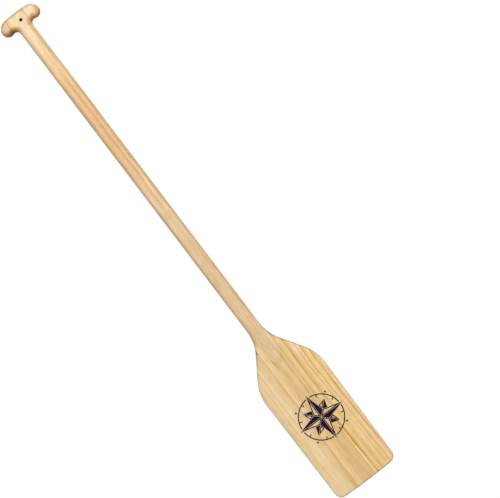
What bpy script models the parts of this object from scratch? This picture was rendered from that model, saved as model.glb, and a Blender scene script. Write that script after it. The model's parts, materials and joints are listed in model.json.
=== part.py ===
"""Canoe paddle with a T-grip, glued up from softwood staves, sawn to its outline and sanded round.

The paddle lies on its back on the plane z = 0, centred on x = 0 and y = 0. +Y runs from the blade
to the grip, +X across the blade and +Z up. Lengths are in metres and angles in radians.

The outline is drawn in a flat frame of its own: x across, and s down from the top of the grip.
"""

import math

import bmesh
import bpy
from mathutils import Vector

# Overall
OVERALL_LENGTH = 1.220
STOCK_THICKNESS = 0.028

# Grip
GRIP_WIDTH = 0.0944
GRIP_DEPTH = 0.0358
GRIP_CROWN = 0.0016
GRIP_EDGE_RADIUS = 0.0125
KNOB_RADIUS = 0.0140
NECK_RADIUS = 0.0088
HANGING_HOLE_DIAMETER = 0.0065
HANGING_HOLE_DEPTH = 0.0211
HANGING_HOLE_OFFSET = 0.0018
HANGING_HOLE_CHAMFER = 0.0005

# Shaft
SHAFT_WIDTH = 0.032
SHAFT_EDGE_RADIUS = 0.011
NECK_BLEND_LENGTH = 0.042

# Blade
BLADE_LENGTH = 0.3985
BLADE_WIDTH = 0.1525
BLADE_TIP_WIDTH = 0.148
BLADE_SHOULDER_THICKNESS = 0.013
BLADE_TIP_THICKNESS = 0.0095
BLADE_EDGE_RADIUS = 0.0038
THROAT_RADIUS = 0.094
THROAT_ANGLE = math.radians(33.1)
SHOULDER_RADIUS = 0.095
THINNING_LENGTH = 0.105
TIP_CORNER_RADIUS = 0.0166
TIP_CROWN = 0.0019

# Most of a wall that its rounded edge may take
ROUNDED_SHARE = 0.9

# Glue-up
LEFT_JOINT = -0.0256
RIGHT_JOINT = 0.0182
GLUE_THICKNESS = 0.0003

# Fineness of the facets
ARC_STEP = math.radians(4.6)
FEWEST_ARC_STEPS = 3
ROW_STEP = 0.007
ROUNDING_STEPS = 8
HOLE_SIDES = 32
SHARP_ANGLE = math.radians(35)
ON_PLANE = 1e-6

# Worked out from the sizes above
HALF_STOCK = STOCK_THICKNESS / 2
THROAT_START = OVERALL_LENGTH - BLADE_LENGTH
THINNING_END = THROAT_START + THINNING_LENGTH
KNOB_CENTRE = Vector((GRIP_WIDTH / 2 - KNOB_RADIUS, GRIP_DEPTH - KNOB_RADIUS))
NECK_X = SHAFT_WIDTH / 2 + NECK_RADIUS
NECK_DROP = math.sqrt((KNOB_RADIUS + NECK_RADIUS) ** 2 - (KNOB_CENTRE.x - NECK_X) ** 2)
NECK_CENTRE = Vector((NECK_X, KNOB_CENTRE.y + NECK_DROP))
STAVE_EDGES = (
    LEFT_JOINT - GLUE_THICKNESS / 2,
    LEFT_JOINT + GLUE_THICKNESS / 2,
    RIGHT_JOINT - GLUE_THICKNESS / 2,
    RIGHT_JOINT + GLUE_THICKNESS / 2,
)

WOOD_ROUGHNESS = 0.5
GLUE_ROUGHNESS = 0.35
SHAFT_STAVE_COLOUR = (0.74, 0.53, 0.31, 1.0)
LEFT_STAVE_COLOUR = (0.79, 0.58, 0.34, 1.0)
RIGHT_STAVE_COLOUR = (0.80, 0.57, 0.29, 1.0)
GRIP_BLOCK_COLOUR = (0.77, 0.56, 0.33, 1.0)
GLUE_COLOUR = (0.32, 0.18, 0.08, 1.0)


def direction(angle):
    """Unit vector at this angle from +x towards +s."""
    return Vector((math.cos(angle), math.sin(angle)))


def arc(centre, radius, start, end, hollow=False):
    """Stations along an arc: each is a point of the outline and its inward normal."""
    steps = max(FEWEST_ARC_STEPS, math.ceil(abs(end - start) / ARC_STEP))
    stations = []
    for step in range(steps + 1):
        outward = direction(start + (end - start) * step / steps)
        point = Vector(centre) + radius * outward
        stations.append((point, outward if hollow else -outward))
    return stations


def line(start, end, inward, step_length):
    """Stations between two points, both left out."""
    steps = max(1, math.ceil((end - start).length / step_length))
    return [(start.lerp(end, step / steps), inward) for step in range(1, steps)]


def angle_of(vector):
    return math.atan2(vector.y, vector.x)


def grip_outline():
    """Right half of the T-grip: a crowned top, a quarter round, the knob and the neck fillet."""
    corner_radius = KNOB_CENTRE.y - GRIP_CROWN
    corner = Vector((GRIP_WIDTH / 2 - corner_radius, KNOB_CENTRE.y))
    crown_radius = (corner.length_squared - corner_radius**2) / (2 * GRIP_CROWN)
    crown = Vector((0, crown_radius))
    crown_end = angle_of(corner - crown)
    knob_end = angle_of(NECK_CENTRE - KNOB_CENTRE)
    return (
        arc(crown, crown_radius, -math.pi / 2, crown_end)
        + arc(corner, corner_radius, crown_end, 0)[1:]
        + arc(KNOB_CENTRE, KNOB_RADIUS, 0, knob_end)[1:]
        + arc(NECK_CENTRE, NECK_RADIUS, knob_end - math.pi, -math.pi, hollow=True)[1:]
    )


def neck_outline(start):
    """Straight top of the shaft, down to where its edges have their own radius."""
    end = start + Vector((0, NECK_BLEND_LENGTH))
    inward = Vector((-1, 0))
    return line(start, end, inward, ROW_STEP) + [(end, inward)]


def throat_outline():
    """Concave arc that leads from the shaft into the sloping shoulder."""
    centre = Vector((SHAFT_WIDTH / 2 + THROAT_RADIUS, THROAT_START))
    return arc(centre, THROAT_RADIUS, math.pi, math.pi - THROAT_ANGLE, hollow=True)


def blade_outline(throat_end):
    """Right half of the blade: shoulder slope, shoulder arc, side, tip corner and crowned tip."""
    slope = Vector((math.sin(THROAT_ANGLE), math.cos(THROAT_ANGLE)))
    slope_inward = Vector((-slope.y, slope.x))
    shoulder = throat_end + slope * (BLADE_WIDTH / 2 - throat_end.x) / slope.x
    side = (Vector((BLADE_TIP_WIDTH / 2, OVERALL_LENGTH)) - shoulder).normalized()
    side_inward = Vector((-side.y, side.x))
    tangent = SHOULDER_RADIUS * math.tan(slope.angle(side) / 2)
    shoulder_start = shoulder - slope * tangent
    shoulder_centre = shoulder_start + slope_inward * SHOULDER_RADIUS

    tip_radius = ((BLADE_TIP_WIDTH / 2) ** 2 + TIP_CROWN**2) / (2 * TIP_CROWN)
    tip_centre = Vector((0, OVERALL_LENGTH - tip_radius))
    inset_line = shoulder + side_inward * TIP_CORNER_RADIUS - tip_centre
    along = inset_line.dot(side)
    across_squared = inset_line.length_squared - along**2
    reach = math.sqrt((tip_radius - TIP_CORNER_RADIUS) ** 2 - across_squared) - along
    corner_centre = tip_centre + inset_line + side * reach
    corner_end = angle_of(corner_centre - tip_centre)
    return (
        line(throat_end, shoulder_start, slope_inward, ROW_STEP)
        + arc(shoulder_centre, SHOULDER_RADIUS, angle_of(-slope_inward), angle_of(-side_inward))
        + arc(corner_centre, TIP_CORNER_RADIUS, angle_of(-side_inward), corner_end)
        + arc(tip_centre, tip_radius, corner_end, math.pi / 2)[1:]
    )


def eased(part):
    """Smooth step from 0 to 1."""
    part = min(max(part, 0), 1)
    return part * part * (3 - 2 * part)


def thinning(s):
    """0 on the shaft and 1 on the blade, with a smooth step through the throat."""
    return eased((s - THROAT_START) / THINNING_LENGTH)


def half_thickness(s):
    """Half of the paddle's thickness at s: the stock, the sanded throat, then the tapered blade."""
    along_blade = (s - THINNING_END) / (OVERALL_LENGTH - THINNING_END)
    taper = BLADE_TIP_THICKNESS - BLADE_SHOULDER_THICKNESS
    blade = (BLADE_SHOULDER_THICKNESS + taper * max(along_blade, 0)) / 2
    return HALF_STOCK + (blade - HALF_STOCK) * thinning(s)


def edge_radius(s):
    """Radius of the sanded edge, limited by the wall it rounds: grip, then shaft, then blade."""
    past_neck = eased((s - NECK_CENTRE.y) / NECK_BLEND_LENGTH)
    radius = GRIP_EDGE_RADIUS + (SHAFT_EDGE_RADIUS - GRIP_EDGE_RADIUS) * past_neck
    radius += (BLADE_EDGE_RADIUS - SHAFT_EDGE_RADIUS) * thinning(s)
    return min(radius, ROUNDED_SHARE * half_thickness(s), ROUNDED_SHARE * KNOB_RADIUS)


def ring(stations, rise, side):
    """One loop of points round the paddle, at this rise of its rounded edge, above or below."""
    points = []
    for point, inward in stations:
        radius = edge_radius(point.y)
        inset = point + inward * radius * (1 - math.cos(rise))
        height = half_thickness(inset.y) - radius * (1 - math.sin(rise))
        points.append((inset.x, OVERALL_LENGTH / 2 - inset.y, HALF_STOCK + side * height))
    return points


def cap(mesh, loop, throat, blade):
    """Flat grip and shaft, sanded throat and flat blade, as faces across one loop of vertices."""
    count = len(loop)
    mesh.faces.new(loop[: throat + 1] + loop[count - throat :])
    for row in range(throat, blade):
        mesh.faces.new((loop[row], loop[row + 1], loop[count - row - 1], loop[count - row]))
    mesh.faces.new(loop[blade : count - blade + 1])


def shaped_blank():
    """The whole paddle as one body, before it is parted into its staves."""
    grip = grip_outline()
    grip += neck_outline(grip[-1][0])
    throat = throat_outline()
    right = grip + throat + blade_outline(throat[-1][0])
    mirror = Vector((-1, 1))
    left = [(point * mirror, inward * mirror) for point, inward in reversed(right[1:-1])]
    outline = right + left
    rises = [math.pi / 2 * step / ROUNDING_STEPS for step in range(ROUNDING_STEPS + 1)]
    rings = [ring(outline, rise, -1) for rise in reversed(rises)]
    rings += [ring(outline, rise, 1) for rise in rises]
    first_blade_row = next(
        index
        for index, (point, inward) in enumerate(right)
        if (point + inward * edge_radius(point.y)).y >= THINNING_END
    )

    mesh = bmesh.new()
    loops = [[mesh.verts.new(point) for point in points] for points in rings]
    for lower, upper in zip(loops, loops[1:]):
        for here in range(len(outline)):
            before = here - 1
            mesh.faces.new((lower[before], lower[here], upper[here], upper[before]))
    for loop in (loops[0], loops[-1]):
        cap(mesh, loop, len(grip), first_blade_row)
    bmesh.ops.recalc_face_normals(mesh, faces=mesh.faces)
    return mesh


def cut(mesh, x, keep_above):
    """Saws the mesh along a plane of constant x, keeps one side and closes the sawn face."""
    bmesh.ops.bisect_plane(
        mesh,
        geom=mesh.verts[:] + mesh.edges[:] + mesh.faces[:],
        dist=ON_PLANE,
        plane_co=(x, 0, 0),
        plane_no=(1, 0, 0),
        clear_inner=keep_above,
        clear_outer=not keep_above,
    )
    for vertex in mesh.verts:
        if abs(vertex.co.x - x) < ON_PLANE:
            vertex.co.x = x
    bmesh.ops.holes_fill(mesh, edges=[edge for edge in mesh.edges if edge.is_boundary], sides=0)


def keep_end(mesh, at_grip):
    """Drops the grip's or the blade's body from a mesh that holds one of each."""
    dropped = [vertex for vertex in mesh.verts if (vertex.co.y > 0) != at_grip]
    bmesh.ops.delete(mesh, geom=dropped, context="VERTS")


def stave(blank, low, high, at_grip=None):
    """The part of the blank between two planes of constant x, None being open."""
    mesh = blank.copy()
    if low is not None:
        cut(mesh, low, keep_above=True)
    if high is not None:
        cut(mesh, high, keep_above=False)
    if at_grip is not None:
        keep_end(mesh, at_grip)
    bmesh.ops.recalc_face_normals(mesh, faces=mesh.faces)
    return mesh


def material(name, colour, roughness):
    made = bpy.data.materials.new(name)
    made.use_nodes = True
    shader = made.node_tree.nodes["Principled BSDF"]
    shader.inputs["Base Color"].default_value = colour
    shader.inputs["Roughness"].default_value = roughness
    shader.inputs["Metallic"].default_value = 0.0
    return made


def add_object(name, mesh, parent, finish):
    """Makes an object of the mesh, shaded smooth but for its sawn faces and arrises."""
    data = bpy.data.meshes.new(name)
    mesh.to_mesh(data)
    mesh.free()
    data.shade_smooth()
    data.set_sharp_from_angle(angle=SHARP_ANGLE)
    if finish:
        data.materials.append(finish)
    made = bpy.data.objects.new(name, data)
    made.parent = parent
    bpy.context.collection.objects.link(made)
    return made


def hanging_hole_cutter(parent):
    """A drill with eased mouths: a turned profile that runs past both faces of the grip."""
    radius = HANGING_HOLE_DIAMETER / 2
    mouth = radius + HANGING_HOLE_CHAMFER
    past = HANGING_HOLE_CHAMFER
    profile = (
        (0, -past),
        (mouth, -past),
        (mouth, 0),
        (radius, HANGING_HOLE_CHAMFER),
        (radius, STOCK_THICKNESS - HANGING_HOLE_CHAMFER),
        (mouth, STOCK_THICKNESS),
        (mouth, STOCK_THICKNESS + past),
        (0, STOCK_THICKNESS + past),
    )
    mesh = bmesh.new()
    points = [mesh.verts.new((x, 0, z)) for x, z in profile]
    edges = [mesh.edges.new(pair) for pair in zip(points, points[1:])]
    bmesh.ops.spin(
        mesh,
        geom=points + edges,
        cent=(0, 0, 0),
        axis=(0, 0, 1),
        angle=2 * math.pi,
        steps=HOLE_SIDES,
        use_merge=True,
    )
    bmesh.ops.remove_doubles(mesh, verts=mesh.verts, dist=ON_PLANE)
    bmesh.ops.recalc_face_normals(mesh, faces=mesh.faces)
    cutter = add_object("hanging_hole_cutter", mesh, parent, None)
    cutter.location = (HANGING_HOLE_OFFSET, OVERALL_LENGTH / 2 - HANGING_HOLE_DEPTH, 0)
    cutter.hide_render = True
    cutter.display_type = "WIRE"
    return cutter


def build():
    for old in list(bpy.data.objects):
        bpy.data.objects.remove(old, do_unlink=True)
    paddle = bpy.data.objects.new("paddle", None)
    bpy.context.collection.objects.link(paddle)

    shaft_wood = material("shaft_wood", SHAFT_STAVE_COLOUR, WOOD_ROUGHNESS)
    left_wood = material("left_blade_wood", LEFT_STAVE_COLOUR, WOOD_ROUGHNESS)
    right_wood = material("right_blade_wood", RIGHT_STAVE_COLOUR, WOOD_ROUGHNESS)
    grip_wood = material("grip_wood", GRIP_BLOCK_COLOUR, WOOD_ROUGHNESS)
    glue = material("glue", GLUE_COLOUR, GLUE_ROUGHNESS)

    left_wing, shaft_left, shaft_right, right_wing = STAVE_EDGES
    blank = shaped_blank()
    shaft = add_object("shaft_stave", stave(blank, shaft_left, shaft_right), paddle, shaft_wood)
    pieces = (
        ("left_blade_stave", None, left_wing, False, left_wood),
        ("left_blade_glue_line", left_wing, shaft_left, False, glue),
        ("right_blade_glue_line", shaft_right, right_wing, False, glue),
        ("right_blade_stave", right_wing, None, False, right_wood),
        ("left_grip_block", None, left_wing, True, grip_wood),
        ("left_grip_glue_line", left_wing, shaft_left, True, glue),
        ("right_grip_glue_line", shaft_right, right_wing, True, glue),
        ("right_grip_block", right_wing, None, True, grip_wood),
    )
    for name, low, high, at_grip, finish in pieces:
        add_object(name, stave(blank, low, high, at_grip), paddle, finish)
    blank.free()

    drill = shaft.modifiers.new("hanging_hole", "BOOLEAN")
    drill.operation = "DIFFERENCE"
    drill.solver = "EXACT"
    drill.object = hanging_hole_cutter(paddle)


build()
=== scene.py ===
"""Looks of the wooden canoe paddle: its lacquered softwood staves, glue lines and printed mark.

Lengths are in metres and angles in radians. The paddle lies on its back on z = 0, its blade
towards -Y and its grip towards +Y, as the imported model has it.
"""

import json
import math

import bmesh
import bpy
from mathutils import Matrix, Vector


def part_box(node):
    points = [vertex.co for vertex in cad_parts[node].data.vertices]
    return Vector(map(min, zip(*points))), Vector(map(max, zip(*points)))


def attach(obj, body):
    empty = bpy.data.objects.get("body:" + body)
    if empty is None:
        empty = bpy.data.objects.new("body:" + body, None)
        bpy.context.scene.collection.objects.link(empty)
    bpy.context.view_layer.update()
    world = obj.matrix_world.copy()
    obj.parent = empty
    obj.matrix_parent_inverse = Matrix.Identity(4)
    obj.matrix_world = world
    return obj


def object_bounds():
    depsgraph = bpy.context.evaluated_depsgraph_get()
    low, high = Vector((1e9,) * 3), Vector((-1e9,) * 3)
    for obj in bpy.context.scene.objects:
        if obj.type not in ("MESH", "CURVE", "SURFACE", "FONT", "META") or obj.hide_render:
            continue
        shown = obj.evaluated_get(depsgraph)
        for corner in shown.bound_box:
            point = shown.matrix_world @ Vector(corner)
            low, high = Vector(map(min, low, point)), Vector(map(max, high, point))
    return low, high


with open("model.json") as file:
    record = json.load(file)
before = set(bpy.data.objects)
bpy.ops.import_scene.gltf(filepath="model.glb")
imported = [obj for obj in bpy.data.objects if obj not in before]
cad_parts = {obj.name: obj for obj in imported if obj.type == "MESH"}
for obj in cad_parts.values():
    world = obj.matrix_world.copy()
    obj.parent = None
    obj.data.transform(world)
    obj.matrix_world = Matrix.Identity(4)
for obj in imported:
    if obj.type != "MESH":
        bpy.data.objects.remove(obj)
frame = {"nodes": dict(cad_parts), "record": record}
cad_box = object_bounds()

BODY = "root"


def tint(red, green, blue):
    """Linear colour of an 8-bit display colour."""
    parts = [value / 255 for value in (red, green, blue)]
    linear = [p / 12.92 if p <= 0.04045 else ((p + 0.055) / 1.055) ** 2.4 for p in parts]
    return (*linear, 1.0)


def grey(level):
    """Linear grey of a level from 0 to 1."""
    return (level, level, level, 1.0)


def middle_x(node):
    """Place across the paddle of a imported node's middle."""
    low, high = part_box(node)
    return (low.x + high.x) / 2


def add_mesh(name, mesh, material):
    """A new object of the scene from a bmesh, which is used up."""
    data = bpy.data.meshes.new(name)
    mesh.to_mesh(data)
    mesh.free()
    data.materials.append(material)
    thing = bpy.data.objects.new(name, data)
    bpy.context.scene.collection.objects.link(thing)
    return thing


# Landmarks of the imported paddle. A distance below the top is counted from the grip's top
TOP_Y = cad_box[1].y
MID_PLANE_Z = (cad_box[0].z + cad_box[1].z) / 2
LEFT_JOINT = middle_x("left_blade_glue_line")
RIGHT_JOINT = middle_x("right_blade_glue_line")
HOLE_BOX = [Vector(corner) for corner in frame["record"]["physics"]["openings"][0]["box_m"]]
HOLE_CENTRE = (HOLE_BOX[0] + HOLE_BOX[1]) / 2
BLADE_MIDDLE = 1.057


class Finish:
    """A material under construction: each call adds a node and returns the socket with its result."""

    def __init__(self, name):
        self.material = bpy.data.materials.new(name)
        self.material.use_nodes = True
        self.tree = self.material.node_tree
        self.shader = self.tree.nodes["Principled BSDF"]

    def add(self, kind, **settings):
        node = self.tree.nodes.new(kind)
        for key, value in settings.items():
            setattr(node, key, value)
        return node

    def put(self, value, socket):
        if isinstance(value, bpy.types.NodeSocket):
            self.tree.links.new(value, socket)
        else:
            socket.default_value = value

    def math(self, operation, *values, clamp=False):
        node = self.add("ShaderNodeMath", operation=operation, use_clamp=clamp)
        for value, socket in zip(values, node.inputs):
            self.put(value, socket)
        return node.outputs[0]

    def squared(self, value):
        return self.math("MULTIPLY", value, value)

    def distance(self, aside, along):
        return self.math("SQRT", self.math("ADD", self.squared(aside), self.squared(along)))

    def from_hole(self, x, y):
        """Distance from the axis of the hanging hole."""
        aside = self.math("SUBTRACT", x, HOLE_CENTRE.x)
        along = self.math("SUBTRACT", y, HOLE_CENTRE.y)
        return self.distance(aside, along)

    def vector(self, x, y, z):
        node = self.add("ShaderNodeCombineXYZ")
        for value, socket in zip((x, y, z), node.inputs):
            self.put(value, socket)
        return node.outputs[0]

    def axes(self, vector):
        node = self.add("ShaderNodeSeparateXYZ")
        self.put(vector, node.inputs[0])
        return node.outputs

    def place(self):
        """The three parts of a point's place on the object."""
        return self.axes(self.add("ShaderNodeTexCoord").outputs["Object"])

    def facing(self, axis):
        """How far the surface faces along X, Y or Z, for an axis of 0, 1 or 2."""
        return self.axes(self.add("ShaderNodeNewGeometry").outputs["Normal"])[axis]

    def span(self, value, low, high, start=0.0, end=1.0, smooth=True):
        """Start below low, end above high and an eased step between them."""
        kind = "SMOOTHSTEP" if smooth else "LINEAR"
        node = self.add("ShaderNodeMapRange", interpolation_type=kind, clamp=True)
        for key, number in zip((0, 1, 2, 3, 4), (value, low, high, start, end)):
            self.put(number, node.inputs[key])
        return node.outputs[0]

    def curve(self, value, points, easing="LINEAR"):
        """A graph through points, each a position and one or two heights from 0 to 1."""
        low, high = points[0][0], points[-1][0]
        node = self.add("ShaderNodeValToRGB")
        node.color_ramp.interpolation = easing
        stops = node.color_ramp.elements
        while len(stops) < len(points):
            stops.new(0.5)
        for stop, (place, *heights) in zip(stops, points):
            stop.position = (place - low) / (high - low)
            stop.color = (heights[0], heights[-1], 0, 1)
        self.put(self.span(value, low, high, smooth=False), node.inputs[0])
        split = self.add("ShaderNodeSeparateColor")
        self.tree.links.new(node.outputs[0], split.inputs[0])
        return split.outputs[0], split.outputs[1]

    def colours(self, value, stops_wanted):
        """The colour at a value from 0 to 1, through stops of a position and a colour."""
        node = self.add("ShaderNodeValToRGB")
        stops = node.color_ramp.elements
        while len(stops) < len(stops_wanted):
            stops.new(0.5)
        for stop, (place, colour) in zip(stops, stops_wanted):
            stop.position = place
            stop.color = colour
        self.put(value, node.inputs[0])
        return node.outputs[0]

    def scaled(self, parts, size, seed=0.0):
        """A place for noise, from the parts of a place and the size of the noise along each."""
        return self.vector(
            *(self.math("MULTIPLY_ADD", part, 1 / length, seed) for part, length in zip(parts, size))
        )

    def noise(self, place, detail=2.0, roughness=0.5):
        """Even noise about 0, from -1 to 1, over places that are already scaled."""
        node = self.add("ShaderNodeTexNoise", noise_dimensions="3D", normalize=True)
        self.put(place, node.inputs["Vector"])
        self.put(1.0, node.inputs["Scale"])
        self.put(detail, node.inputs["Detail"])
        self.put(roughness, node.inputs["Roughness"])
        return self.span(node.outputs[0], *NOISE_RANGE, -1.0, 1.0, smooth=False)

    def relief(self, height):
        """Raises the surface a little where the height is above 0."""
        bump = self.add("ShaderNodeBump")
        self.put(RELIEF_STRENGTH, bump.inputs["Strength"])
        self.put(FIBRE_RELIEF, bump.inputs["Distance"])
        self.put(height, bump.inputs["Height"])
        self.put(bump.outputs[0], self.shader.inputs["Normal"])

    def end_grain_and_shade_under_grip(self, colour, x, y):
        """Browner and darker the more the grip's surface faces the blade, by a share that differs
        across it: end grain, and painted shade of the underside.
        """
        under = self.span(self.facing(1), *UNDERSIDE_FACING, 1.0, 0.0, smooth=False)
        on_grip = self.span(y, *GRIP_BEGINS, 0.0, UNDERSIDE_DEPTH)
        share = self.curve(x, UNDERSIDE_ACROSS)[0]
        end_grain_and_shade = self.math("MULTIPLY", self.math("MULTIPLY", under, on_grip), share)
        return self.mixed(1.0, colour, self.colours(end_grain_and_shade, UNDERSIDE_END_GRAIN_AND_SHADE), "MULTIPLY")

    def mixed(self, factor, first, second, blend="MIX"):
        """A colour between two, or the first one blended with the second."""
        node = self.add("ShaderNodeMix", data_type="RGBA", blend_type=blend)
        for value, socket in ((factor, 0), (first, 6), (second, 7)):
            self.put(value, node.inputs[socket])
        return node.outputs[2]


# Wood

# Size of each kind of grain and patch across, along and through the stave, and how strong it is
FIBRE_SIZE = Vector((0.00045, 0.035, 0.00045))
STREAK_SIZE = Vector((0.0024, 0.075, 0.011))
BAND_SIZE = Vector((0.008, 0.26, 0.036))
FLECK_SIZE = Vector((0.00035, 0.0055, 0.00035))
MOTTLE_SIZE = Vector((0.0075, 0.019, 0.0075))
WANDER_SIZE = Vector((0.07, 0.20, 0.07))
RIPPLE_SIZE = Vector((0.012, 0.040, 0.012))
RAGGED_SIZE = Vector((0.0016, 0.0060, 0.0016))
RING_FADE_SIZE = Vector((0.010, 0.060, 0.010))
FIBRE_TONE = 0.14
STREAK_TONE = 0.19
BAND_TONE = 0.09
FLECK_TONE = 0.24
MOTTLE_TONE = 0.10
MOTTLE_PINK = 0.16
WANDER = 0.0013
RIPPLE = 0.0007
RAGGED = 0.00022
RING_FADE = 0.28
NOISE_RANGE = (0.25, 0.75)
CANAL_RANGE = (0.62, 1.0)

# About the height of the blade's front face, where the growth layers have their stated places
FRONT_Z = 0.0195

# A late wood line: how soon it is at full strength, how long it stays near it and at what share,
# and the empty margins before the first line and after the last
RING_RISE = 0.0008
RING_HOLD = 0.0013
RING_HELD_SHARE = 0.8
RING_MARGINS = (0.010, 0.002)

# Lacquer, worn thin and satin
LACQUER_ROUGHNESS = (0.46, 0.62)
LACQUER_GLOSS = 0.3
COAT_WEIGHT = 0.08
COAT_ROUGHNESS = 0.34
FIBRE_RELIEF = 0.00004
RELIEF_STRENGTH = 0.35

# End grain drank more lacquer, so it is a little darker at the top, the shoulders and the tip
BLADE_BEGINS = (0.80, 0.85)
BLADE_END_BIAS = 0.18
END_GRAIN_EARLY = tint(194, 154, 106)
END_GRAIN_LATE = tint(142, 100, 56)
END_GRAIN_FACING = (0.32, 0.92)
END_GRAIN_SHARE = 0.46
END_GRAIN_STREAKS = (-0.4, 0.4)

# Under the grip it is brown, by a share at each place across the grip, the most on the left: end
# grain, and painted shade of the undersides
GRIP_BEGINS = (TOP_Y - 0.055, TOP_Y - 0.050)
UNDERSIDE_FACING = (-0.85, 0.0)
UNDERSIDE_DEPTH = 1.5
UNDERSIDE_ACROSS = (
    (-0.046, 0.52),
    (-0.034, 0.56),
    (-0.029, 0.86),
    (-0.024, 0.60),
    (-0.016, 0.38),
    (0.014, 0.36),
    (0.025, 0.33),
    (0.031, 0.17),
    (0.038, 0.34),
    (0.046, 0.38),
)
UNDERSIDE_END_GRAIN_AND_SHADE = (
    (0.0, (1.0, 1.0, 1.0, 1.0)),
    (0.25, (0.79, 0.62, 0.38, 1.0)),
    (0.5, (0.55, 0.42, 0.16, 1.0)),
    (0.75, (0.40, 0.29, 0.08, 1.0)),
    (1.0, (0.27, 0.19, 0.03, 1.0)),
)

STAIN_AND_SHADE_BROWN = tint(104, 66, 30)

# Along the blade's edges the rim is painted darker and pinker as shade of its rounding, and the
# lacquer is sanded thin and scuffed: greyer and duller
RIM_FACING = (0.80, 0.995)
RIM_SIDE_FACING = (0.05, 0.50)
RIM_SIDE_SHARE = 0.45
RIM_PAINTED_SHADE = 0.16
RIM_SHADE_PINK = 0.95
RIM_DULLING = 0.10
RIM_WEAR_FROM = (0.89, 0.97)
RIM_WEAR = (0.12, 0.62)
RIM_SATURATION = 0.52
RIM_VALUE = 0.97
SCUFF_SIZE = Vector((0.0030, 0.012, 0.0030))
SCUFFING = 0.5

# What pinker and warmer wood multiplies the colour by
PINK_SHIFT = (1.01, 1.03, 1.30, 1.0)
WARM_SHIFT = (1.10, 0.97, 1.03, 1.0)

# The drilled hole is dark brown inside, as painted shade on its wall, out to these distances from its
# axis
HOLE_WALL = (0.0032, 0.0037)
HOLE_PAINTED_SHADE = tint(104, 52, 8)


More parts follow.
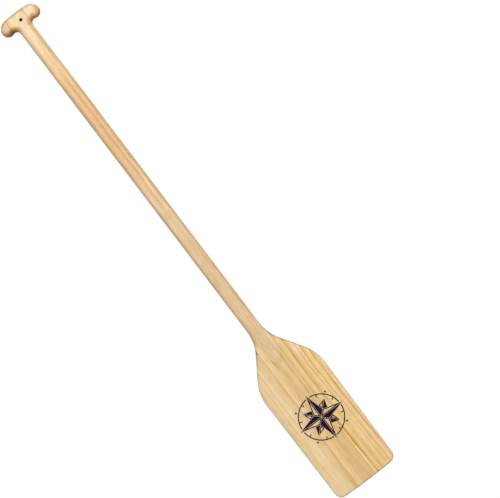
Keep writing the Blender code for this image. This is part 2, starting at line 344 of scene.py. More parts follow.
class Timber(Finish):
    """Lacquered softwood with its grain along Y. Tone runs from 0, cream, to 1, dark late wood.

    The grain drifts sideways along the stave, its growth layers lean and bow through the
    thickness, and its figure is the strength of its streaks and bands.
    """

    def __init__(self, name, seed, drift=0.0, lean=0.0, bow=0.0, figure=1.0):
        super().__init__(name)
        self.seed = seed
        self.where = self.place()
        self.x, self.y, self.z = self.where
        self.below_top = self.math("SUBTRACT", TOP_Y, self.y)
        self.tone = 0.0
        self.pink = 0.0
        self.warmth = 0.0
        self.stained_and_shaded = 0.0
        self.hole_shade = None
        self.lay_grain(drift, lean, bow)
        self.grow(figure)

    def patches(self, size, detail=2.0):
        """Noise over places on the stave, whatever its grain."""
        return self.noise(self.scaled(self.where, size, self.seed), detail)

    def grained(self, size, detail=2.0):
        """Noise that follows the growth layers."""
        return self.noise(self.scaled(self.grain, size, self.seed), detail)

    def lay_grain(self, drift, lean, bow):
        """Sets how far across the grain each place lies, on the front face and in its layer."""
        past_middle = self.math("SUBTRACT", self.below_top, BLADE_MIDDLE)
        shifted = self.math("MULTIPLY_ADD", past_middle, -drift, self.x)
        shifted = self.math("MULTIPLY_ADD", self.patches(WANDER_SIZE), WANDER, shifted)
        shifted = self.math("MULTIPLY_ADD", self.patches(RIPPLE_SIZE), RIPPLE, shifted)
        self.across = self.math("MULTIPLY_ADD", self.patches(RAGGED_SIZE), RAGGED, shifted)
        depth = self.math("SUBTRACT", self.z, FRONT_Z)
        slope = self.math("MULTIPLY_ADD", depth, bow, lean)
        self.layer = self.math("MULTIPLY_ADD", depth, slope, self.across)
        self.grain = (self.layer, self.y, self.z)

    def grow(self, figure):
        """Adds what any softwood has: fibres, streaks, bands, mottle and resin canals."""
        self.fibres = self.grained(FIBRE_SIZE, detail=3.0)
        self.streaks = self.grained(STREAK_SIZE, detail=3.0)
        canals = self.span(self.grained(FLECK_SIZE, detail=1.0), *CANAL_RANGE)
        blush = self.noise(self.scaled(self.where, MOTTLE_SIZE, -self.seed), detail=1.0)
        self.darken(self.fibres, FIBRE_TONE)
        self.darken(self.streaks, STREAK_TONE * figure)
        self.darken(self.grained(BAND_SIZE), BAND_TONE * figure)
        self.darken(self.patches(MOTTLE_SIZE), MOTTLE_TONE)
        self.darken(canals, FLECK_TONE)
        self.redden(blush, MOTTLE_PINK)

    def darken(self, mask, amount):
        """Adds this much tone where the mask is 1."""
        self.tone = self.math("MULTIPLY_ADD", mask, amount, self.tone)

    def redden(self, mask, amount):
        """Makes the wood pinker by this much where the mask is 1."""
        self.pink = self.math("MULTIPLY_ADD", mask, amount, self.pink)

    def warm(self, mask, amount):
        """Makes the wood more orange by this much where the mask is 1."""
        self.warmth = self.math("MULTIPLY_ADD", mask, amount, self.warmth)

    def blended(self, factor, first, second):
        """A number between two."""
        mix = self.add("ShaderNodeMix", data_type="FLOAT")
        for value, socket in ((factor, 0), (first, 2), (second, 3)):
            self.put(value, mix.inputs[socket])
        return mix.outputs[0]

    def down_the_blade(self, at_shoulder, at_tip):
        """A value that changes evenly from the shoulders to the tip."""
        part = self.span(self.below_top, *BLADE_SPAN, smooth=False)
        return self.blended(part, at_shoulder, at_tip)

    def growth_rings(self, rings):
        """Late wood lines: dark and crisp towards -X, fading towards +X. Each has its place, how
        far it fades, and its strength at the shoulder and at the tip."""
        points = [(rings[0][0] - RING_MARGINS[0], 0, 0)]
        for place, fade, shoulder, tip in rings:
            points.append((place - RING_RISE, 0, 0))
            points.append((place, shoulder, tip))
            points.append((place + RING_HOLD, RING_HELD_SHARE * shoulder, RING_HELD_SHARE * tip))
            points.append((place + fade, 0, 0))
        points.append((rings[-1][0] + rings[-1][1] + RING_MARGINS[1], 0, 0))
        strength = self.math("MULTIPLY_ADD", self.grained(RING_FADE_SIZE), RING_FADE, 1.0)
        late_wood = self.down_the_blade(*self.curve(self.layer, points))
        self.darken(self.math("MULTIPLY", late_wood, strength), 1.0)

    def bands(self, points, mask=1.0):
        """Broad early and late wood. Each point has a place and its tone, from -0.5 to 0.5, at
        the shoulder and at the tip."""
        raised = [(place, shoulder + 0.5, tip + 0.5) for place, shoulder, tip in points]
        tone = self.down_the_blade(*self.curve(self.layer, raised, easing="EASE"))
        self.darken(self.math("MULTIPLY", self.math("SUBTRACT", tone, 0.5), mask), 1.0)

    def bend(self, start, end, offset):
        """Moves the growth layers sideways down to one distance below the top, eased to another."""
        above = self.span(self.below_top, start, end, 1.0, 0.0)
        self.layer = self.math("MULTIPLY_ADD", above, -offset, self.layer)

    def streak(self, start, end, width, amount, ease=0.03):
        """One long soft streak between two places, each an x and a distance below the top."""
        part = self.span(self.below_top, start[1], end[1], start[0], end[0], smooth=False)
        offset = self.math("ABSOLUTE", self.math("SUBTRACT", self.across, part))
        body = self.span(offset, 0.0, width, 1.0, 0.0)
        begin = self.span(self.below_top, start[1] - ease, start[1] + ease)
        finish = self.span(self.below_top, end[1] - ease, end[1] + ease, 1.0, 0.0)
        self.darken(self.math("MULTIPLY", body, self.math("MULTIPLY", begin, finish)), amount)

    def oval(self, place, size):
        """1 in the middle of a soft oval, given by an x and a distance below the top, and by its
        half width and half length."""
        aside = self.math("DIVIDE", self.math("SUBTRACT", self.x, place[0]), size[0])
        along = self.math("DIVIDE", self.math("SUBTRACT", self.below_top, place[1]), size[1])
        return self.span(self.distance(aside, along), 0.0, 1.0, 1.0, 0.0)

    def smudge(self, place, size, amount):
        """A soft oval of darker wood, or of paler wood for a negative amount."""
        self.darken(self.oval(place, size), amount)

    def stain_and_shade(self, place, size, amount):
        """A soft brown oval: brown soaked into the wood, and at some places painted shade."""
        self.stained_and_shaded = self.math("MULTIPLY_ADD", self.oval(place, size), amount, self.stained_and_shaded)

    def beside_joint(self, x, width, amount):
        """Darker wood within a width of a joint."""
        offset = self.math("ABSOLUTE", self.math("SUBTRACT", self.x, x))
        self.darken(self.span(offset, 0.0, width, 1.0, 0.0), amount)

    def worn_and_shaded_rim(self, on_blade):
        """1 along the blade's edges, uneven where they are scuffed; it marks both their wear and
        their painted shade.
        """
        flatness = self.math("ABSOLUTE", self.facing(2))
        rim = self.math(
            "MULTIPLY",
            self.span(flatness, *RIM_SIDE_FACING, RIM_SIDE_SHARE, 1.0),
            self.span(flatness, *RIM_FACING, 1.0, 0.0),
        )
        uneven = self.math("MULTIPLY_ADD", self.patches(SCUFF_SIZE, detail=3.0), SCUFFING, 1.0)
        return self.math("MULTIPLY", self.math("MULTIPLY", rim, on_blade), uneven)

    def faded(self, factor, colour):
        """Greyer and a little darker, by a factor."""
        node = self.add("ShaderNodeHueSaturation")
        node.inputs["Saturation"].default_value = RIM_SATURATION
        node.inputs["Value"].default_value = RIM_VALUE
        self.put(factor, node.inputs["Fac"])
        self.put(colour, node.inputs["Color"])
        return node.outputs[0]

    def end_grain(self, colour, on_blade):
        """Darker where the fibres end: at the top, the shoulders and the tip."""
        steepness = self.math("ABSOLUTE", self.facing(1))
        bias = self.math("MULTIPLY_ADD", on_blade, BLADE_END_BIAS, steepness)
        any_end = self.span(bias, *END_GRAIN_FACING, 0.0, END_GRAIN_SHARE)
        late = self.span(self.streaks, *END_GRAIN_STREAKS)
        return self.mixed(any_end, colour, self.mixed(late, END_GRAIN_EARLY, END_GRAIN_LATE))

    def lacquer(self, rim_wear_and_shade):
        """Satin clear coat over the fibres, duller along the worn rim."""
        rough = self.span(self.fibres, -1.0, 1.0, *LACQUER_ROUGHNESS, smooth=False)
        rough = self.math("MULTIPLY_ADD", rim_wear_and_shade, RIM_DULLING, rough)
        self.put(rough, self.shader.inputs["Roughness"])
        self.relief(self.fibres)
        self.shader.inputs["Specular IOR Level"].default_value = LACQUER_GLOSS
        self.shader.inputs["Coat Weight"].default_value = COAT_WEIGHT
        self.shader.inputs["Coat Roughness"].default_value = COAT_ROUGHNESS

    def finished(self, tones):
        """The material, with all that was added to the wood and with the given ramp of tones."""
        on_blade = self.span(self.below_top, *BLADE_BEGINS)
        rim_wear_and_shade = self.worn_and_shaded_rim(on_blade)
        # Painted shade of the rounded edges: darker and pinker along the rim
        self.darken(rim_wear_and_shade, RIM_PAINTED_SHADE)
        self.redden(rim_wear_and_shade, RIM_SHADE_PINK)
        colour = self.colours(self.math("ADD", self.tone, 0.0, clamp=True), tones)
        colour = self.mixed(self.pink, colour, PINK_SHIFT, "MULTIPLY")
        colour = self.mixed(self.warmth, colour, WARM_SHIFT, "MULTIPLY")
        colour = self.end_grain(colour, on_blade)
        # Under the grip: end grain, and painted shade of the undersides
        colour = self.end_grain_and_shade_under_grip(colour, self.x, self.y)
        wear = self.span(self.below_top, *RIM_WEAR_FROM, *RIM_WEAR)
        colour = self.faded(self.math("MULTIPLY", rim_wear_and_shade, wear, clamp=True), colour)
        colour = self.mixed(self.math("ADD", self.stained_and_shaded, 0.0, clamp=True), colour, STAIN_AND_SHADE_BROWN)
        if self.hole_shade is not None:
            colour = self.mixed(self.hole_shade, colour, HOLE_PAINTED_SHADE)
        self.put(colour, self.shader.inputs["Base Color"])
        self.lacquer(rim_wear_and_shade)
        return self.material


# Colours of each wood, from tone 0 to tone 1
STRAW_TONES = (
    (0.0, tint(249, 224, 184)),
    (0.25, tint(236, 208, 160)),
    (0.5, tint(225, 194, 142)),
    (0.75, tint(213, 178, 118)),
    (1.0, tint(196, 155, 84)),
)
TAN_TONES = (
    (0.0, tint(252, 221, 178)),
    (0.25, tint(237, 202, 148)),
    (0.5, tint(224, 189, 130)),
    (0.75, tint(211, 174, 112)),
    (1.0, tint(196, 155, 90)),
)
GOLD_TONES = (
    (0.0, tint(249, 220, 171)),
    (0.25, tint(236, 200, 142)),
    (0.5, tint(225, 187, 124)),
    (0.75, tint(212, 169, 96)),
    (1.0, tint(193, 142, 54)),
)

# From the shoulders to the tip, as distances below the top
BLADE_SPAN = (0.88, 1.20)

# Rings and bands of the blade's wood, at their places across the blade halfway down it
RIGHT_RINGS = (
    (0.0207, 0.0085, 0.30, 0.60),
    (0.0331, 0.0100, 0.86, 0.28),
    (0.0477, 0.0036, 0.46, 0.24),
    (0.0552, 0.0034, 0.58, 0.52),
    (0.0657, 0.0046, 0.60, 0.50),
)
LEFT_RINGS = (
    (-0.0705, 0.0045, 0.20, 0.06),
    (-0.0600, 0.0042, 0.28, 0.08),
    (-0.0500, 0.0030, 0.30, 0.04),
)
LEFT_BANDS = (
    (-0.0770, 0.04, -0.12),
    (-0.0640, 0.00, -0.10),
    (-0.0545, -0.16, -0.06),
    (-0.0490, -0.10, -0.10),
    (-0.0455, -0.20, -0.06),
    (-0.0400, -0.04, 0.02),
    (-0.0340, 0.00, 0.08),
    (-0.0300, 0.05, 0.16),
    (LEFT_JOINT, 0.16, 0.30),
)
CENTRE_BANDS = (
    (LEFT_JOINT, -0.26, -0.10),
    (-0.0225, -0.34, -0.20),
    (-0.0170, -0.34, -0.15),
    (-0.0120, -0.04, -0.02),
    (-0.0055, 0.14, 0.00),
    (-0.0010, -0.14, 0.07),
    (0.0060, -0.16, -0.06),
    (0.0115, 0.10, 0.02),
    (0.0165, -0.20, 0.03),
    (RIGHT_JOINT, -0.10, 0.03),
)

# How the shaft's wood changes from the grip down: its tone and how pink it is
SHAFT_LENGTHWISE = (
    (0.000, 0.18, 0.40),
    (0.014, 0.14, 0.40),
    (0.024, 0.08, 0.22),
    (0.042, 0.03, 0.08),
    (0.090, 0.12, 0.15),
    (0.125, 0.27, 0.05),
    (0.170, 0.44, 0.00),
    (0.217, 0.56, 0.00),
    (0.366, 0.60, 0.10),
    (0.420, 0.55, 0.75),
    (0.500, 0.52, 0.70),
    (0.620, 0.55, 1.00),
    (0.850, 0.54, 1.00),
    (0.878, 0.52, 0.75),
    (0.904, 0.54, 0.40),
    (0.918, 0.62, 0.15),
    (1.220, 0.62, 0.15),
)

# The upper shaft is more orange, and the shaft's rounded edges are pinker
ORANGE_BEGINS = (0.10, 0.22)
ORANGE_ENDS = (0.34, 0.46)
ORANGE = 0.62
SHAFT_EDGES = (0.0090, 0.0135)
SHAFT_EDGES_BEGIN = (0.06, 0.09)
SHAFT_EDGE_PINK = 0.48

# The ramp cuts through pinkish outer wood into yellower wood, along a bowed line
HEARTWOOD_HALF = 0.0069
HEARTWOOD_BOW = 26000
HEARTWOOD_LINE = 0.0003
HEARTWOOD_LINE_TONE = 0.10
RAMP_STARTS = (0.80, 0.84)

# The blade's bands begin below the tongue, sooner towards the sides
TONGUE_SLOPE = 2.2
TONGUE_ENDS = (0.885, 0.910)


def right_blade_wood():
    timber = Timber("right_blade_wood", seed=3.1, drift=0.0255, lean=0.55, bow=24)
    timber.bend(0.860, 0.965, 0.0052)
    timber.darken(timber.down_the_blade(0.25, 0.33), 1.0)
    timber.growth_rings(RIGHT_RINGS)
    # Beside the joint: pale next to the ramp, dark late wood towards the tip
    timber.streak((0.0220, 1.06), (0.0220, 1.17), 0.0030, 0.42, ease=0.035)
    timber.beside_joint(RIGHT_JOINT, 0.0016, 0.30)
    timber.smudge((0.0250, 1.135), (0.0050, 0.050), 0.26)
    timber.smudge((0.0215, 0.880), (0.0050, 0.026), -0.18)
    # Two pale pinkish places: a painted highlight on the shoulder, and one by the tip
    timber.smudge((0.0425, 0.908), (0.0110, 0.030), -0.19)
    timber.redden(timber.oval((0.0430, 0.910), (0.0140, 0.036)), 0.8)
    timber.smudge((0.0590, 1.108), (0.0120, 0.040), -0.08)
    timber.redden(timber.oval((0.0590, 1.108), (0.0120, 0.040)), 0.5)
    # Darker wood towards the outer edge
    timber.smudge((0.0665, 0.972), (0.0060, 0.022), 0.14)
    timber.smudge((0.0750, 1.000), (0.0050, 0.030), 0.24)
    timber.smudge((0.0650, 1.030), (0.0080, 0.045), 0.12)
    timber.smudge((0.0705, 1.145), (0.0055, 0.090), 0.16)
    return timber.finished(GOLD_TONES)


def left_blade_wood():
    timber = Timber("left_blade_wood", seed=7.4, drift=0.008, lean=-0.40, bow=-18, figure=0.75)
    timber.darken(timber.down_the_blade(0.42, 0.50), 1.0)
    timber.growth_rings(LEFT_RINGS)
    timber.bands(LEFT_BANDS)
    # Beside the joint, from a brown spot of painted shade where the stave begins down to orange wood
    # at the tip
    timber.beside_joint(LEFT_JOINT, 0.0016, 0.22)
    timber.stain_and_shade((-0.0262, 0.8695), (0.0032, 0.0065), 0.95)
    timber.smudge((-0.0310, 0.880), (0.0060, 0.020), 0.10)
    timber.smudge((-0.0285, 0.960), (0.0050, 0.040), 0.14)
    timber.smudge((-0.0310, 1.195), (0.0070, 0.055), 0.17)
    timber.warm(timber.oval((-0.0310, 1.195), (0.0080, 0.045)), 0.5)
    # Darker wood along the shoulder and the outer edge, and pale wood between edge and joint
    timber.streak((-0.0335, 0.872), (-0.0700, 0.935), 0.0060, 0.18, ease=0.008)
    timber.smudge((-0.0690, 1.025), (0.0060, 0.070), 0.16)
    timber.smudge((-0.0665, 1.065), (0.0070, 0.035), 0.20)
    timber.smudge((-0.0520, 1.120), (0.0120, 0.050), -0.15)
    return timber.finished(STRAW_TONES)


def shaft_wood():
    timber = Timber("shaft_wood", seed=11.7, lean=0.30, bow=14)
    from_middle = timber.math("ABSOLUTE", timber.x)
    on_blade = timber.span(timber.below_top, *RAMP_STARTS)
    off_blade = timber.span(timber.below_top, *RAMP_STARTS, 1.0, 0.0)
    tone, pink = timber.curve(timber.below_top, SHAFT_LENGTHWISE)
    timber.darken(tone, 1.0)
    orange_begins = timber.span(timber.below_top, *ORANGE_BEGINS)
    orange_ends = timber.span(timber.below_top, *ORANGE_ENDS, 1.0, 0.0)
    timber.warm(timber.math("MULTIPLY", orange_begins, orange_ends), ORANGE)
    below_neck = timber.span(timber.below_top, *SHAFT_EDGES_BEGIN)
    edges = timber.math("MULTIPLY", timber.span(from_middle, *SHAFT_EDGES), below_neck)
    timber.redden(timber.math("MULTIPLY", edges, off_blade), SHAFT_EDGE_PINK)
    outer_wood(timber, pink, on_blade)
    beside_tongue = timber.math("MULTIPLY_ADD", from_middle, TONGUE_SLOPE, timber.below_top)
    timber.bands(CENTRE_BANDS, timber.span(beside_tongue, *TONGUE_ENDS))
    grip_end_figure(timber)
    shaft_figure(timber)
    tongue_figure(timber)
    timber.beside_joint(LEFT_JOINT, 0.0014, 0.16)
    timber.beside_joint(RIGHT_JOINT, 0.0014, 0.16)
    # The bore's wall: dark brown painted shade inside the hole
    timber.hole_shade = timber.span(timber.from_hole(timber.x, timber.y), *HOLE_WALL, 1.0, 0.0)
    return timber.finished(TAN_TONES)


def outer_wood(timber, pink, on_blade):
    """Pinkish wood along the shaft and, on the blade, only in front of and behind the heartwood."""
    depth = timber.math("ABSOLUTE", timber.math("SUBTRACT", timber.z, MID_PLANE_Z))
    bow = timber.squared(timber.squared(timber.x))
    depth = timber.math("MULTIPLY_ADD", bow, -HEARTWOOD_BOW, depth)
    outer = timber.span(depth, HEARTWOOD_HALF - HEARTWOOD_LINE, HEARTWOOD_HALF + HEARTWOOD_LINE)
    timber.redden(timber.math("MULTIPLY", pink, timber.blended(on_blade, 1.0, outer)), 1.0)
    from_line = timber.math("ABSOLUTE", timber.math("SUBTRACT", depth, HEARTWOOD_HALF))
    line = timber.span(from_line, 0.0, HEARTWOOD_LINE, 1.0, 0.0)
    timber.darken(timber.math("MULTIPLY", line, on_blade), HEARTWOOD_LINE_TONE)


def grip_end_figure(timber):
    """Streaks, pale places and the browner top end of the stave, which is the grip's core."""
    timber.streak((-0.0232, -0.05), (-0.0232, 0.022), 0.0054, 0.32, ease=0.02)
    timber.streak((-0.0160, -0.05), (-0.0160, 0.03), 0.0050, -0.12, ease=0.02)
    timber.streak((0.0150, -0.05), (0.0150, 0.03), 0.0060, 0.16, ease=0.02)
    timber.stain_and_shade((-0.0300, -0.0005), (0.0200, 0.0055), 0.50)
    timber.smudge((-0.0115, 0.0235), (0.0075, 0.0060), -0.10)
    timber.smudge((0.0094, 0.0300), (0.0050, 0.0090), -0.12)


def shaft_figure(timber):
    """Long streaks and soft darker and paler places from the neck down to the throat."""
    timber.streak((-0.0118, 0.04), (-0.0118, 0.12), 0.0045, 0.12, ease=0.02)
    timber.streak((0.0112, 0.04), (0.0105, 0.125), 0.0048, 0.38, ease=0.02)
    timber.streak((-0.0055, 0.11), (-0.0070, 0.66), 0.0062, -0.24, ease=0.04)
    timber.streak((0.0020, 0.16), (0.0030, 0.43), 0.0046, 0.13, ease=0.05)
    timber.streak((0.0078, 0.19), (0.0078, 0.58), 0.0040, -0.33, ease=0.08)
    timber.streak((-0.0100, 0.62), (-0.0130, 0.85), 0.0050, -0.05, ease=0.03)
    timber.streak((0.0135, 0.80), (0.0135, 0.87), 0.0065, -0.44, ease=0.03)
    timber.smudge((-0.0030, 0.085), (0.0070, 0.045), -0.12)
    timber.smudge((-0.0105, 0.180), (0.0055, 0.050), -0.18)
    timber.smudge((-0.0080, 0.408), (0.0075, 0.040), 0.20)
    timber.smudge((-0.0060, 0.742), (0.0085, 0.032), -0.16)


def tongue_figure(timber):
    """Darker wood beside and below the tongue's point, with paler wood between."""
    timber.smudge((-0.0030, 0.858), (0.0055, 0.020), -0.16)
    timber.smudge((0.0116, 0.903), (0.0032, 0.009), 0.22)
    timber.smudge((0.0030, 0.907), (0.0085, 0.012), 0.18)
    timber.smudge((-0.0114, 0.908), (0.0032, 0.013), 0.44)
    timber.smudge((-0.0095, 0.920), (0.0040, 0.013), 0.26)
    timber.smudge((0.0094, 0.942), (0.0050, 0.016), 0.20)
    timber.smudge((0.0000, 0.962), (0.0055, 0.014), -0.16)
    timber.smudge((-0.0085, 0.990), (0.0055, 0.022), 0.18)


def left_grip_wood():
    timber = Timber("left_grip_wood", seed=17.2, lean=-0.55, bow=-16)
    timber.darken(1.0, 0.30)
    timber.redden(1.0, 0.75)
    timber.beside_joint(LEFT_JOINT, 0.0055, 0.26)
    timber.warm(timber.oval((-0.0285, 0.0100), (0.0060, 0.0200)), 0.7)
    # Painted shade under the joint and on the end of the arm, and brown stains along its top
    timber.stain_and_shade((-0.0262, 0.0260), (0.0045, 0.0100), 0.21)
    timber.stain_and_shade((-0.0465, 0.0205), (0.0045, 0.0130), 0.52)
    timber.stain_and_shade((-0.0300, -0.0005), (0.0200, 0.0055), 0.66)
    timber.stain_and_shade((-0.0385, 0.0035), (0.0085, 0.0055), 0.30)
    timber.stain_and_shade((-0.0430, 0.0060), (0.0060, 0.0070), 0.25)
    return timber.finished(TAN_TONES)


def right_grip_wood():
    timber = Timber("right_grip_wood", seed=23.9, lean=0.70, bow=20)
    timber.darken(1.0, 0.06)
    # Pale by the joint, darker and pinker towards the end of the arm
    timber.beside_joint(RIGHT_JOINT, 0.0012, 0.20)
    timber.smudge((0.0225, 0.0150), (0.0065, 0.0160), -0.16)
    timber.redden(timber.span(timber.x, 0.034, 0.043), 0.4)
    timber.darken(timber.span(timber.x, 0.034, 0.044), 0.30)
    timber.smudge((0.0395, 0.0120), (0.0035, 0.0160), 0.10)
    timber.smudge((0.0405, 0.0205), (0.0100, 0.0100), 0.26)
    timber.warm(timber.oval((0.0400, 0.0150), (0.0070, 0.0190)), 0.9)
    timber.warm(timber.oval((0.0330, 0.0290), (0.0170, 0.0110)), 0.9)
    # Brown towards the arm's underside and end: painted shade, added to that under the grip
    timber.stain_and_shade((0.0300, 0.0255), (0.0080, 0.0040), 0.16)
    timber.stain_and_shade((0.0430, 0.0185), (0.0100, 0.0125), 0.09)
    return timber.finished(STRAW_TONES)


# Glue lines

GLUE_SIZE = Vector((0.0015, 0.0045, 0.0015))
GLUE_PALE = tint(184, 138, 84)
GLUE_DARK = tint(140, 94, 48)
GLUE_OPEN = (-0.6, 0.6)
GLUE_ROUGHNESS = (0.34, 0.5)


def glue():
    """Yellowed glue, darker where the line is a little open."""
    finish = Finish("glue")
    place = finish.place()
    beads = finish.noise(finish.scaled(place, GLUE_SIZE), detail=3.0)
    colour = finish.mixed(finish.span(beads, *GLUE_OPEN), GLUE_PALE, GLUE_DARK)
    # Browner under the grip, as on the wood: painted shade of the undersides
    colour = finish.end_grain_and_shade_under_grip(colour, place[0], place[1])
    finish.put(colour, finish.shader.inputs["Base Color"])
    rough = finish.span(beads, -1.0, 1.0, *GLUE_ROUGHNESS, smooth=False)
    finish.put(rough, finish.shader.inputs["Roughness"])
    finish.relief(beads)
    return finish.material


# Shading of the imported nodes: smooth over the facets, but for sharp edges and large flat faces

WELD_DISTANCE = 1e-5
SHARP_ANGLE = math.radians(35)
LARGE_FACE_WEIGHT = 70


def smoothing_group():
    """Geometry nodes that join the facets' corners and shade them smooth, but for sharp edges."""
    group = bpy.data.node_groups.new("smooth_facets", "GeometryNodeTree")
    for direction in ("INPUT", "OUTPUT"):
        group.interface.new_socket("Geometry", in_out=direction, socket_type="NodeSocketGeometry")
    nodes, links = group.nodes, group.links
    start = nodes.new("NodeGroupInput")
    weld = nodes.new("GeometryNodeMergeByDistance")
    weld.inputs["Distance"].default_value = WELD_DISTANCE
    smooth = nodes.new("GeometryNodeSetShadeSmooth")
    angle = nodes.new("GeometryNodeInputMeshEdgeAngle")
    sharp = nodes.new("FunctionNodeCompare")
    sharp.operation = "GREATER_THAN"
    sharp.inputs[1].default_value = SHARP_ANGLE
    crease = nodes.new("GeometryNodeSetShadeSmooth")
    crease.domain = "EDGE"
    crease.inputs["Shade Smooth"].default_value = False
    end = nodes.new("NodeGroupOutput")
    links.new(start.outputs[0], weld.inputs["Geometry"])
    links.new(weld.outputs[0], smooth.inputs["Geometry"])
    links.new(smooth.outputs[0], crease.inputs["Geometry"])
    links.new(angle.outputs[0], sharp.inputs[0])
    links.new(sharp.outputs[0], crease.inputs["Selection"])
    links.new(crease.outputs[0], end.inputs[0])
    return group


def dress(node, material, group):
    """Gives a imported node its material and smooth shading."""
    mesh = node.data
    split_normals = mesh.attributes.get("custom_normal")
    if split_normals:
        mesh.attributes.remove(split_normals)
    mesh.materials.clear()
    mesh.materials.append(material)
    smooth = node.modifiers.new("smooth_facets", "NODES")
    smooth.node_group = group
    weighted = node.modifiers.new("flat_faces_stay_flat", "WEIGHTED_NORMAL")
    weighted.keep_sharp = True
    weighted.weight = LARGE_FACE_WEIGHT


def dress_nodes():
    """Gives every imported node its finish. All but the five of wood are glue lines."""
    group = smoothing_group()
    glue_finish = glue()
    finishes = {
        "shaft_stave": shaft_wood(),
        "left_blade_stave": left_blade_wood(),
        "right_blade_stave": right_blade_wood(),
        "left_grip_block": left_grip_wood(),
        "right_grip_block": right_grip_wood(),
    }
    for name, node in frame["nodes"].items():
        dress(node, finishes.get(name, glue_finish), group)


# Printed mark: a compass rose on the front of the blade

INK_NAVY = tint(18, 7, 46)
INK_WORN = tint(42, 29, 74)
INK_WEAR = (0.1, 1.0)
INK_ROUGHNESS = (0.50, 0.64)
INK_GLOSS = 0.06
INK_RISE = 0.00001
INK_THICKNESS = 0.00005
ROSE_CENTRE = Vector((0.0006, TOP_Y - BLADE_MIDDLE))
ROSE_WAIST = 0.0166
LONG_RAY = 0.0570
SHORT_RAY = 0.0400
SHORT_RAY_FLARE = 0.24
ROSE_LINE = 0.0021
ROSE_GAP = 0.0003
CIRCLE_RADIUS = 0.0482
CIRCLE_WIDTH = 0.0024
CIRCLE_OPENING = math.radians(4.6)
CIRCLE_STEPS = 24
TICK_LENGTH = 0.0052
TICK_WIDTH = 0.0024
DOT_RADIUS = 0.0021
DOT_RING = 0.0538
DOT_SIDES = 20


def front_plane():
    """Height of the blade's front face over a point of it, from the record's own mount."""
    mount = next(item for item in frame["record"]["mounts"] if item["name"] == "blade_front")
    foot, normal = Vector(mount["pos_m"]), Vector(mount["axis"])

    def height(x, y):
        return foot.z - (normal.x * (x - foot.x) + normal.y * (y - foot.y)) / normal.z

    return height


def turned(point, angle):
    """A flat point of the mark, turned clockwise from the way to the grip."""
    x, y = point
    return (
        x * math.cos(angle) + y * math.sin(angle),
        -x * math.sin(angle) + y * math.cos(angle),
    )


def inset(corners, width):
    """The corners of a convex outline, moved in by a width; anticlockwise order."""
    moved = []
    for before, corner, after in zip(corners[-1:] + corners[:-1], corners, corners[1:] + corners[:1]):
        first = (Vector(corner) - Vector(before)).normalized()
        second = (Vector(after) - Vector(corner)).normalized()
        inward = Vector((-first.y, first.x)) + Vector((-second.y, second.x))
        reach = width / (1 + first.dot(second))
        moved.append(tuple(Vector(corner) + inward * reach))
    return moved


def lay_ink(mesh, outline, height, hole=()):
    """Adds one closed thin film: an outline, with another of as many corners cut out of it."""
    rings = [outline, hole] if hole else [outline]
    levels = []
    for rise in (INK_RISE, INK_RISE + INK_THICKNESS):
        level = []
        for ring in rings:
            spots = [(ROSE_CENTRE.x + x, ROSE_CENTRE.y + y) for x, y in ring]
            level.append([mesh.verts.new((x, y, height(x, y) + rise)) for x, y in spots])
        levels.append(level)
    low, high = levels
    count = len(outline)
    if not hole:
        mesh.faces.new(high[0])
        mesh.faces.new(low[0][::-1])
    for i in range(count):
        j = (i + 1) % count
        mesh.faces.new((low[0][i], low[0][j], high[0][j], high[0][i]))
        if hole:
            mesh.faces.new((low[1][j], low[1][i], high[1][i], high[1][j]))
            mesh.faces.new((high[0][i], high[0][j], high[1][j], high[1][i]))
            mesh.faces.new((low[0][j], low[0][i], low[1][i], low[1][j]))


def rose_ray(mesh, angle, foot, shoulder, tip, height):
    """One ray of the rose, along an angle: a solid half clockwise and an outlined half."""
    solid = inset([foot, shoulder, tip], ROSE_GAP)
    lay_ink(mesh, [turned(corner, angle) for corner in solid], height)
    mirrored = inset([tip, (-shoulder[0], shoulder[1]), foot], ROSE_GAP)
    window = inset(mirrored, ROSE_LINE)
    lay_ink(
        mesh,
        [turned(corner, angle) for corner in mirrored],
        height,
        [turned(corner, angle) for corner in window],
    )


def round_outline(radius, centre):
    """Outline of a dot."""
    steps = [math.tau * i / DOT_SIDES for i in range(DOT_SIDES)]
    return [(centre[0] + radius * math.cos(a), centre[1] + radius * math.sin(a)) for a in steps]


def arc_band(start, end, inner, outer):
    """Outline of a stretch of a circle's line, between two angles clockwise from the grip."""
    angles = [start + (end - start) * i / CIRCLE_STEPS for i in range(CIRCLE_STEPS + 1)]
    far_side = [turned((0, outer), angle) for angle in reversed(angles)]
    return far_side + [turned((0, inner), angle) for angle in angles]


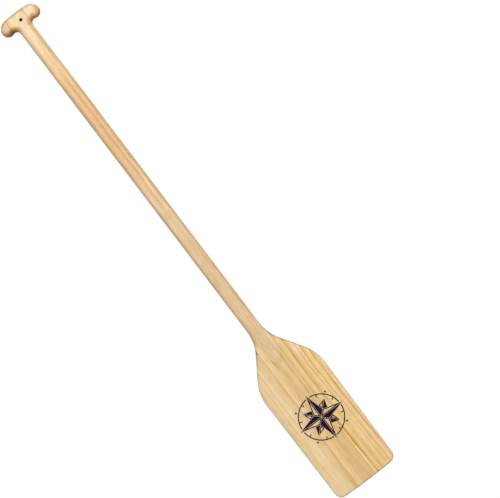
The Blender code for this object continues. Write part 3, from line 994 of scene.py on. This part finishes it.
def compass_rose():
    """The mark as one piece: long rays over short ones, in a broken circle with ticks and dots."""
    height = front_plane()
    mesh = bmesh.new()
    eighth = math.tau / 8
    inner, outer = CIRCLE_RADIUS - CIRCLE_WIDTH / 2, CIRCLE_RADIUS + CIRCLE_WIDTH / 2
    tick = [
        (-TICK_WIDTH / 2, inner - TICK_LENGTH),
        (TICK_WIDTH / 2, inner - TICK_LENGTH),
        (TICK_WIDTH / 2, inner - ROSE_GAP),
        (-TICK_WIDTH / 2, inner - ROSE_GAP),
    ]
    foot, tip = Vector((0, 0)), Vector((0, LONG_RAY))
    shoulder = Vector(turned((0, ROSE_WAIST), eighth))
    for i in range(4):
        quarter = 2 * i * eighth
        rose_ray(mesh, quarter, foot, shoulder, tip, height)
        opening = (quarter + CIRCLE_OPENING, quarter + 2 * eighth - CIRCLE_OPENING)
        lay_ink(mesh, arc_band(*opening, inner, outer), height)
    foot, tip = Vector((0, ROSE_WAIST)), Vector((0, SHORT_RAY))
    neighbour = Vector(turned((0, LONG_RAY), eighth))
    shoulder = foot.lerp(neighbour, SHORT_RAY_FLARE)
    for i in range(4):
        angle = (2 * i + 1) * eighth
        rose_ray(mesh, angle, foot, shoulder, tip, height)
        lay_ink(mesh, round_outline(DOT_RADIUS, turned((0, DOT_RING), angle)), height)
        for side in (-1, 1):
            lay_ink(mesh, [turned(corner, angle + side * eighth / 2) for corner in tick], height)
    rose = add_mesh("compass_rose", mesh, ink())
    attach(rose, BODY)


def ink():
    """Navy printing ink, thinner where the wood's fibres stand up."""
    finish = Finish("printing_ink")
    fibres = finish.noise(finish.scaled(finish.place(), FIBRE_SIZE), detail=3.0)
    worn = finish.span(fibres, *INK_WEAR)
    finish.put(finish.mixed(worn, INK_NAVY, INK_WORN), finish.shader.inputs["Base Color"])
    rough = finish.span(fibres, -1.0, 1.0, *INK_ROUGHNESS, smooth=False)
    finish.put(rough, finish.shader.inputs["Roughness"])
    finish.relief(fibres)
    finish.shader.inputs["Specular IOR Level"].default_value = INK_GLOSS
    return finish.material


# Studio

# The camera looks straight down, with the paddle lying across the picture
CAMERA_TARGET = Vector((0.09335, -0.0785, 0.020))
CAMERA_TURN = math.radians(-37.19)
CAMERA_LENS_MM = 200
CAMERA_SENSOR_MM = 36
PICTURE_WIDTH = 1.04065

# Light: an even white sky and a broad lamp high up, towards the grip and a little to the right
SKY_LIGHT = 0.36
LAMP_SHARE = 0.62
LAMP_FROM = Vector((0.18, 0.34, 1.0))
LAMP_SPREAD = math.radians(32)

# The camera sees a white floor with a soft shadow, and the paddle gets the light of a grey one
FLOOR_SIZE = 12
FLOOR_Z = -0.0002
FLOOR_BOUNCE = 0.36
FLOOR_SHADED_SHARE = 0.10
FLOOR_SHOWN = 0.93

# Close under the paddle it shows a painted contact shadow instead, and painted dark brown shade
# beneath the hole
FLOOR_HIDDEN_REACH = 0.03
FLOOR_HIDDEN_SAMPLES = 32
FLOOR_HIDDEN = (0.10, 0.35)
FLOOR_PAINTED_SHADOW = tint(128, 114, 98)
FLOOR_PAINTED_HOLE_SHADE = tint(42, 19, 3)
HOLE_SHADE_RADIUS = (0.007, 0.009)


def diffuse(finish, level):
    """A matt grey surface."""
    shader = finish.add("ShaderNodeBsdfDiffuse")
    shader.inputs["Color"].default_value = grey(level)
    return shader.outputs[0]


def either(finish, factor, first, second):
    """The first shader at a factor of 0, the second at 1 and a mix of them between."""
    mix = finish.add("ShaderNodeMixShader")
    for value, socket in zip((factor, first, second), mix.inputs):
        finish.put(value, socket)
    return mix.outputs[0]


def lit_floor():
    """Stage floor: what the camera sees of it, with painted shadow close under the paddle, and what
    throws light back on the paddle.
    """
    finish = Finish("floor")
    finish.tree.nodes.remove(finish.shader)
    glow = finish.add("ShaderNodeEmission")
    glow.inputs["Strength"].default_value = FLOOR_SHOWN
    white = finish.add("ShaderNodeAddShader")
    finish.put(diffuse(finish, FLOOR_SHADED_SHARE), white.inputs[0])
    finish.put(glow.outputs[0], white.inputs[1])
    place = finish.place()
    under_hole = finish.span(finish.from_hole(place[0], place[1]), *HOLE_SHADE_RADIUS, 1.0, 0.0)
    shadow = finish.add("ShaderNodeEmission")
    finish.put(finish.mixed(under_hole, FLOOR_PAINTED_SHADOW, FLOOR_PAINTED_HOLE_SHADE), shadow.inputs["Color"])
    open_sky = finish.add("ShaderNodeAmbientOcclusion", samples=FLOOR_HIDDEN_SAMPLES)
    open_sky.inputs["Distance"].default_value = FLOOR_HIDDEN_REACH
    clear = finish.span(open_sky.outputs["AO"], *FLOOR_HIDDEN)
    shown = either(finish, clear, shadow.outputs[0], white.outputs[0])
    surface = either(finish, seen_by_eye(finish), diffuse(finish, FLOOR_BOUNCE), shown)
    finish.put(surface, finish.tree.nodes["Material Output"].inputs["Surface"])
    return finish.material


def seen_by_eye(finish):
    """1 for rays that the camera, a reflection or a clear surface sends out."""
    rays = finish.add("ShaderNodeLightPath").outputs
    seen = finish.math("ADD", rays["Is Camera Ray"], rays["Is Glossy Ray"], clamp=True)
    return finish.math("ADD", seen, rays["Is Transmission Ray"], clamp=True)


def add_floor():
    """The floor under the paddle."""
    mesh = bmesh.new()
    bmesh.ops.create_grid(mesh, x_segments=1, y_segments=1, size=FLOOR_SIZE / 2)
    floor = add_mesh("floor", mesh, lit_floor())
    floor.location.z = FLOOR_Z


class Sky(Finish):
    """The world's node tree, built with the same calls as a material."""

    def __init__(self, world):
        world.use_nodes = True
        self.tree = world.node_tree
        self.shader = self.tree.nodes["Background"]


def add_lights():
    """The sky and the lamp. The sky is pure white where it is seen, and dimmer as a light."""
    world = bpy.data.worlds.new("studio")
    bpy.context.scene.world = world
    sky = Sky(world)
    sky.shader.inputs["Color"].default_value = grey(1.0)
    seen = seen_by_eye(sky)
    sky.put(sky.span(seen, 0.0, 1.0, SKY_LIGHT, 1.0, smooth=False), sky.shader.inputs["Strength"])

    lamp_data = bpy.data.lights.new("softbox", "SUN")
    direction = LAMP_FROM.normalized()
    lamp_data.energy = math.pi * LAMP_SHARE / direction.z
    lamp_data.angle = LAMP_SPREAD
    lamp = bpy.data.objects.new("softbox", lamp_data)
    lamp.rotation_euler = direction.to_track_quat("Z", "Y").to_euler()
    bpy.context.scene.collection.objects.link(lamp)


def add_camera():
    """The camera above the paddle, at the height from which the picture has its width."""
    data = bpy.data.cameras.new("camera")
    data.type = "PERSP"
    data.sensor_width = CAMERA_SENSOR_MM
    data.lens = CAMERA_LENS_MM
    camera = bpy.data.objects.new("camera", data)
    height = PICTURE_WIDTH * CAMERA_LENS_MM / CAMERA_SENSOR_MM
    camera.location = CAMERA_TARGET + Vector((0, 0, height))
    camera.rotation_euler = (0, 0, CAMERA_TURN)
    bpy.context.scene.collection.objects.link(camera)
    bpy.context.scene.camera = camera


dress_nodes()
compass_rose()
add_floor()
add_lights()
add_camera()
bpy.context.scene.view_settings.view_transform = "Standard"
